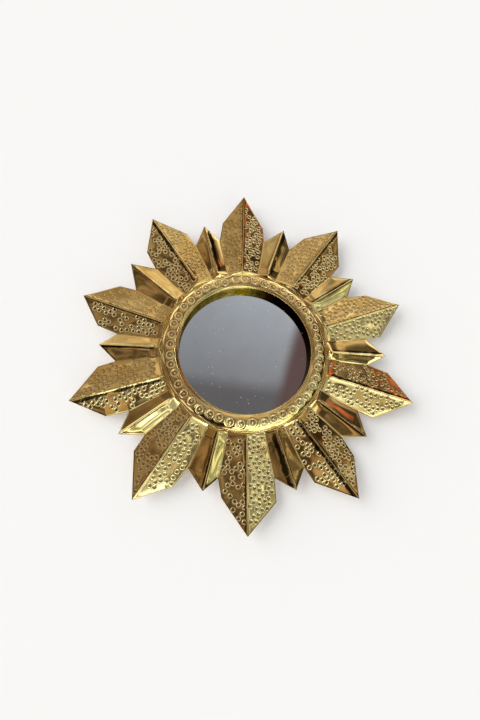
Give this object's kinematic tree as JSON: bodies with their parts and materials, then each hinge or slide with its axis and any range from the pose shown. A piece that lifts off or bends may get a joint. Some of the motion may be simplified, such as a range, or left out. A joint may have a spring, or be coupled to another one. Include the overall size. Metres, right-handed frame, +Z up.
{
  "type": "snowflake mirror",
  "caption": "Round wall mirror in a star of creased brass rays, large punched ones and small plain ones in turn, with a domed collar, a set-back glass and a hanging ring behind.",
  "frame": {"origin": "centre of the back pan's flat floor, on the wall", "axes": "+Z up towards the top ray, the mirror faces -Y, +X to the viewer's right; +Y points into the wall"},
  "size_m": [0.3329, 0.0163, 0.353],
  "materials": {
    "punched_brass": "polished sheet, punched with small circles, with darker marks",
    "plain_brass": "polished sheet with faint hammer waves",
    "collar_brass": "polished, worn bright along the lip",
    "reveal_brass": "unpolished, olive tarnish",
    "mirror_glass": "silvered glass with tiny specks of age",
    "card": "grey-brown board",
    "pan_brass": "dull sheet, unpolished",
    "hanger_brass": "satin",
    "rivet_brass": "hammered heads"
  },
  "bodies": {
    "mirror": {"large_ray_01": "punched_brass", "large_ray_02": "punched_brass", "large_ray_03": "punched_brass", "large_ray_04": "punched_brass", "large_ray_05": "punched_brass", "large_ray_06": "punched_brass", "large_ray_07": "punched_brass", "large_ray_08": "punched_brass", "large_ray_09": "punched_brass", "large_ray_10": "punched_brass", "small_ray_01": "plain_brass", "small_ray_02": "plain_brass", "small_ray_03": "plain_brass", "small_ray_04": "plain_brass", "small_ray_05": "plain_brass", "small_ray_06": "plain_brass", "small_ray_07": "plain_brass", "small_ray_08": "plain_brass", "small_ray_09": "plain_brass", "small_ray_10": "plain_brass", "collar": "collar_brass", "reveal_band": "reveal_brass", "mirror_glass": "mirror_glass", "backing_card": "card", "back_pan": "pan_brass", "pan_clips": "hanger_brass", "hanger_strap": "hanger_brass", "hanger_rivets": "rivet_brass"},
    "ring": {"hanging_ring": "hanger_brass"}
  },
  "joints": [
    {"name": "ring_swing", "type": "hinge", "parent": "mirror", "child": "ring", "pos_m": [0, -0.00744, 0.1012], "axis": [1, 0, 0], "range_deg": [0, 180]}
  ]
}
